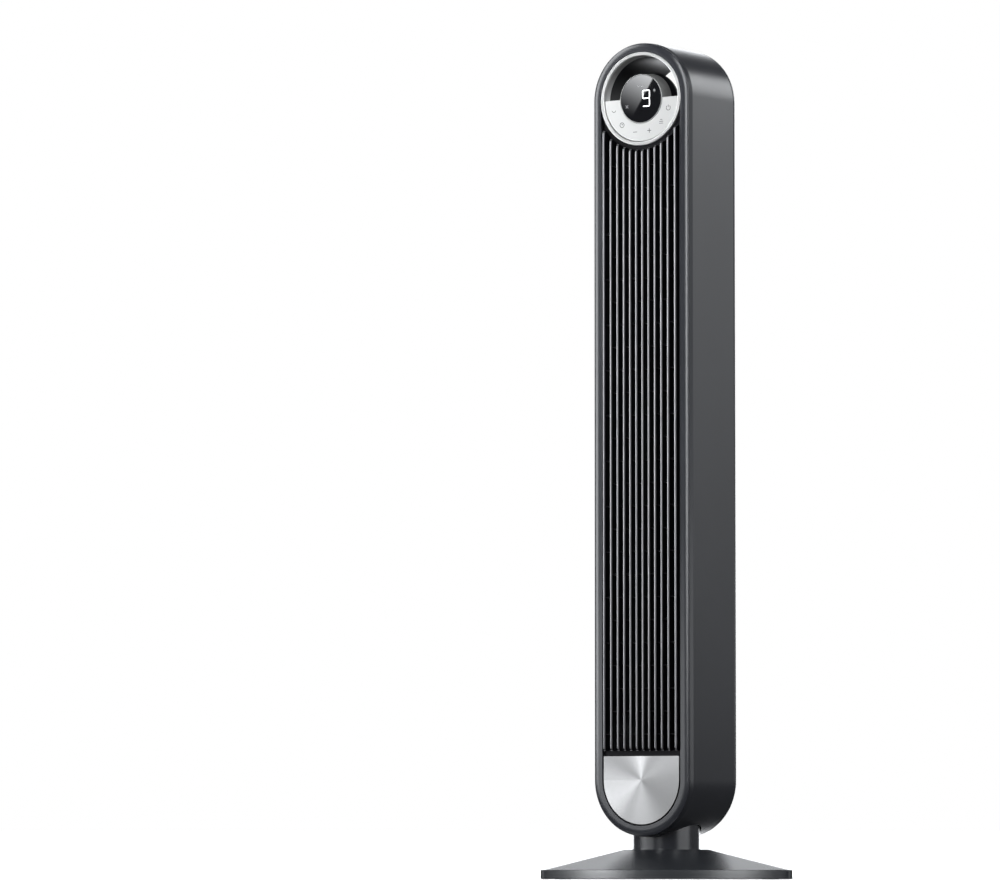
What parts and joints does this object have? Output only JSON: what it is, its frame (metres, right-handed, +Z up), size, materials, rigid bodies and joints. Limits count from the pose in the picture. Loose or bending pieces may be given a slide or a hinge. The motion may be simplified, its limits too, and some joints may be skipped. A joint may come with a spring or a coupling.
{
  "type": "tower fan",
  "caption": "Floor-standing swinging tower fan with a cross-flow blower, slatted front, round display pod in a see-through carry handle, and a square weighted base.",
  "frame": {"origin": "floor level under the centre of the square base, on the swing axis", "axes": "+Z up along the tower and the swing axis; -Y towards the base's front edge; the tower is turned 32 degrees clockwise seen from above"},
  "size_m": [0.315, 0.315, 1.066],
  "materials": {
    "charcoal_shell": "satin moulded charcoal plastic",
    "black_plastic": "fine-textured black plastic",
    "silver_plastic": "silver-painted plastic",
    "pod_grey": "satin grey painted plastic",
    "spun_aluminium": "spun brushed aluminium",
    "black_glass": "glossy smoked black",
    "rubber": "matte moulded rubber",
    "steel": "zinc-plated steel",
    "motor_metal": "cast aluminium motor case",
    "inner_plastic": "dark grey moulded plastic",
    "gear_plastic": "natural acetal",
    "circuit_board": "solder-masked circuit board",
    "cable_sheath": "grey ribbon cable"
  },
  "bodies": {
    "base": {"base_cover": "charcoal_shell", "base_plate": "black_plastic", "base_weight": "steel", "rubber_feet": "rubber", "base_screws": "steel", "neck": "charcoal_shell", "neck_screws": "steel", "ring_gear": "gear_plastic"},
    "ball_cage": {"bearing_cage": "gear_plastic", "bearing_balls": "steel"},
    "tower": {"turntable": "inner_plastic", "retaining_ring": "steel", "swing_motor": "motor_metal", "main_housing": "charcoal_shell", "rear_cover": "charcoal_shell", "rear_grille": "black_plastic", "rear_screws": "steel", "cord_gland": "rubber", "front_bezel": "charcoal_shell", "front_grille": "black_plastic", "trim_plate": "spun_aluminium", "dial_ring": "silver_plastic", "handle_liner": "black_plastic", "display_housing": "pod_grey", "display_lens": "black_glass", "display_board": "circuit_board", "touch_panel": "silver_plastic", "touch_board": "circuit_board", "motor_deck": "inner_plastic", "fan_motor": "motor_metal", "upper_deck": "inner_plastic", "top_bush": "rubber", "scroll_wall": "inner_plastic", "cutoff_wall": "inner_plastic", "main_board": "circuit_board", "board_cable": "cable_sheath"},
    "impeller": {"impeller": "black_plastic", "drive_shaft": "steel", "top_axle": "steel"},
    "pinion": {"drive_pinion": "gear_plastic"}
  },
  "joints": [
    {"name": "tower_swing", "type": "hinge", "parent": "base", "child": "tower", "pos_m": [0, 0, 0.07], "axis": [0, 0, 1], "range_deg": [-13, 77]},
    {"name": "cage_roll", "type": "hinge", "parent": "base", "child": "ball_cage", "pos_m": [0, 0, 0.0632], "axis": [0, 0, 1], "range_deg": [-8, 40]},
    {"name": "impeller_spin", "type": "hinge", "parent": "tower", "child": "impeller", "pos_m": [0.00212, 0.00339, 0.5], "axis": [0, 0, 1], "continuous": true},
    {"name": "pinion_spin", "type": "hinge", "parent": "tower", "child": "pinion", "pos_m": [0.0159, 0.02544, 0.065], "axis": [0, 0, 1], "range_deg": [-465, 80]}
  ],
  "couplings": [
    {"joint": "cage_roll", "follows": "tower_swing", "ratio": 0.5},
    {"joint": "pinion_spin", "follows": "tower_swing", "ratio": -6}
  ]
}
